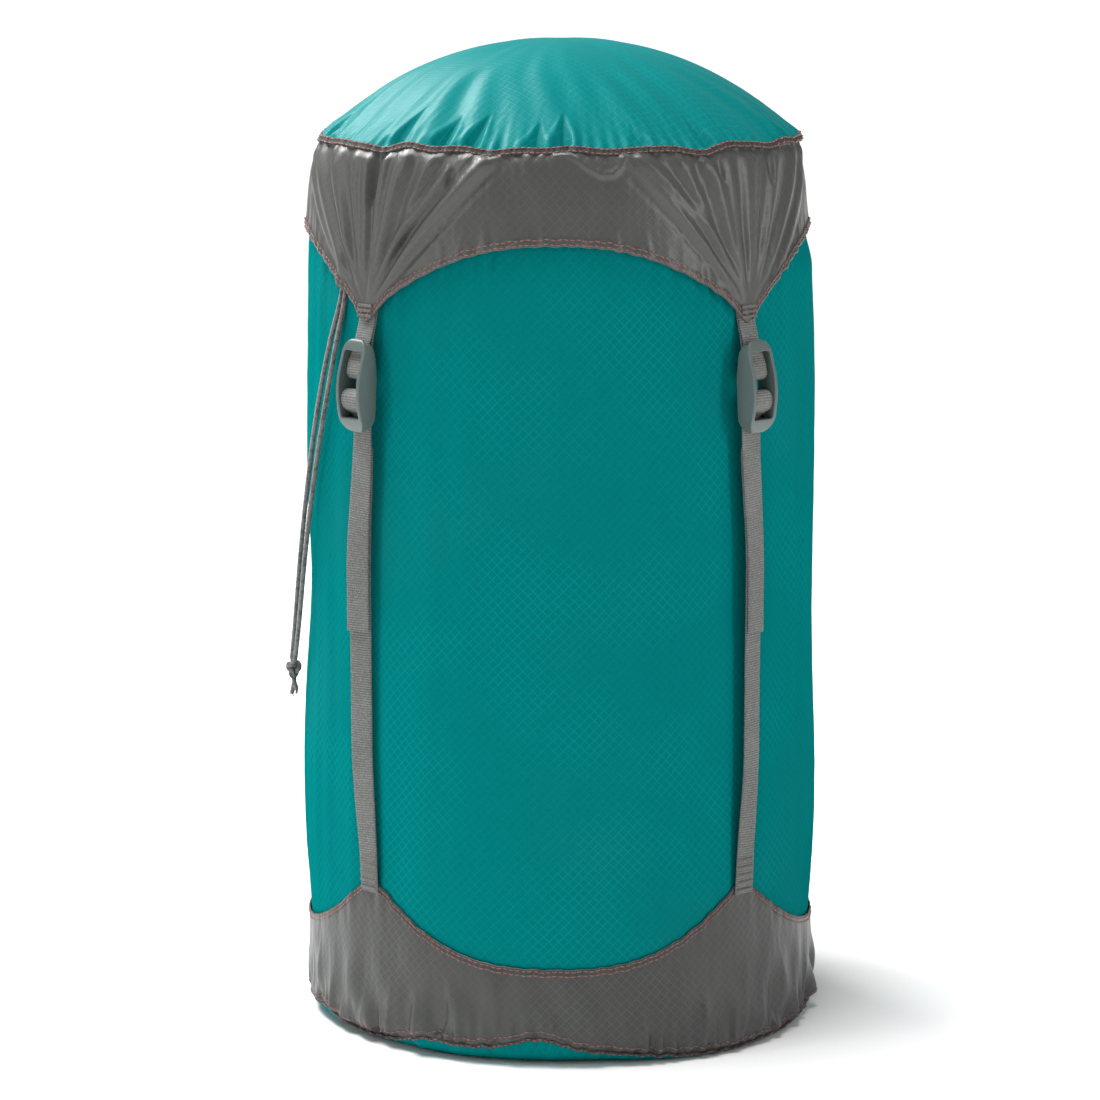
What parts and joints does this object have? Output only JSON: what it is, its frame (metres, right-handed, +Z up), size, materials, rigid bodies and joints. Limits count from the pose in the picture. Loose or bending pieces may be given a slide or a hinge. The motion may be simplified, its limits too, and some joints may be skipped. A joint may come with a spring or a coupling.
{
  "type": "compression stuff sack",
  "caption": "Round-bottomed ripstop stuff sack, stuffed full, with a domed lid, webbing compression straps, ladder-lock buckles and a drawcord mouth under the lid.",
  "frame": {"origin": "on the floor under the middle of the sack", "axes": "+Z up along the sack's axis; the straps stand at 45 degrees to X and Y; the drawcord hangs out at the front left; front is -Y"},
  "size_m": [0.2216, 0.2124, 0.404],
  "materials": {
    "teal_ripstop": "satin",
    "grey_ripstop": "satin",
    "seam_tape": "matte",
    "thread": "matte",
    "webbing": "matte",
    "drawcord": "matte",
    "filling": "matte",
    "buckle_plastic": "matte",
    "lock_plastic": "matte",
    "spring_steel": "brushed"
  },
  "bodies": {
    "base": {"bottom_disc": "teal_ripstop", "bottom_yoke": "grey_ripstop", "body_tube": "teal_ripstop", "bottom_seam": "seam_tape", "stuffed_load": "filling", "leg_bar_tacks": "thread", "strap_leg_1": "webbing", "strap_leg_2": "webbing", "strap_leg_3": "webbing", "strap_leg_4": "webbing"},
    "upper": {"mouth_collar": "teal_ripstop", "drawcord_hem": "teal_ripstop", "drawcord_loop": "drawcord", "cord_lock_barrel": "lock_plastic", "cord_lock_spring": "spring_steel", "drawcord_strand_1": "drawcord", "drawcord_strand_2": "drawcord", "drawcord_knot": "drawcord"},
    "lid": {"lid_dome": "teal_ripstop", "lid_seam": "seam_tape", "lid_yoke": "grey_ripstop", "tab_bar_tacks": "thread", "lid_tab_1": "webbing", "lid_tab_2": "webbing", "lid_tab_3": "webbing", "lid_tab_4": "webbing", "strap_tail_1": "webbing", "strap_tail_2": "webbing", "strap_tail_3": "webbing", "strap_tail_4": "webbing"},
    "buckle_1": {"buckle_frame_1": "buckle_plastic", "strap_wrap_1": "webbing"},
    "buckle_2": {"buckle_frame_2": "buckle_plastic", "strap_wrap_2": "webbing"},
    "buckle_3": {"buckle_frame_3": "buckle_plastic", "strap_wrap_3": "webbing"},
    "buckle_4": {"buckle_frame_4": "buckle_plastic", "strap_wrap_4": "webbing"},
    "plunger": {"cord_lock_plunger": "lock_plastic"}
  },
  "joints": [
    {"name": "compression", "type": "slide", "parent": "base", "child": "upper", "axis": [0, 0, 1], "range_m": [-0.09, 0], "stiffness_N_per_m": 600, "springref_m": 0.02, "deforming": ["body_tube", "stuffed_load", "strap_leg_1", "strap_leg_2", "strap_leg_3", "strap_leg_4"]},
    {"name": "lid_lift", "type": "slide", "parent": "upper", "child": "lid", "axis": [0, 0, 1], "range_m": [0, 0.07]},
    {"name": "buckle_1_tilt", "type": "hinge", "parent": "lid", "child": "buckle_1", "pos_m": [-0.07799, -0.07799, 0.277], "axis": [-0.7071, 0.7071, 0], "range_deg": [0, 20], "deforming": ["lid_tab_1"]},
    {"name": "buckle_2_tilt", "type": "hinge", "parent": "lid", "child": "buckle_2", "pos_m": [0.07799, -0.07799, 0.277], "axis": [-0.7071, -0.7071, 0], "range_deg": [0, 20], "deforming": ["lid_tab_2"]},
    {"name": "buckle_3_tilt", "type": "hinge", "parent": "lid", "child": "buckle_3", "pos_m": [0.07799, 0.07799, 0.277], "axis": [0.7071, -0.7071, 0], "range_deg": [0, 20], "deforming": ["lid_tab_3"]},
    {"name": "buckle_4_tilt", "type": "hinge", "parent": "lid", "child": "buckle_4", "pos_m": [-0.07799, 0.07799, 0.277], "axis": [0.7071, 0.7071, 0], "range_deg": [0, 20], "deforming": ["lid_tab_4"]},
    {"name": "cord_lock_press", "type": "slide", "parent": "upper", "child": "plunger", "axis": [0, 0, -1], "range_m": [0, 0.002], "stiffness_N_per_m": 400, "springref_m": -0.002, "deforming": ["cord_lock_spring"]}
  ]
}
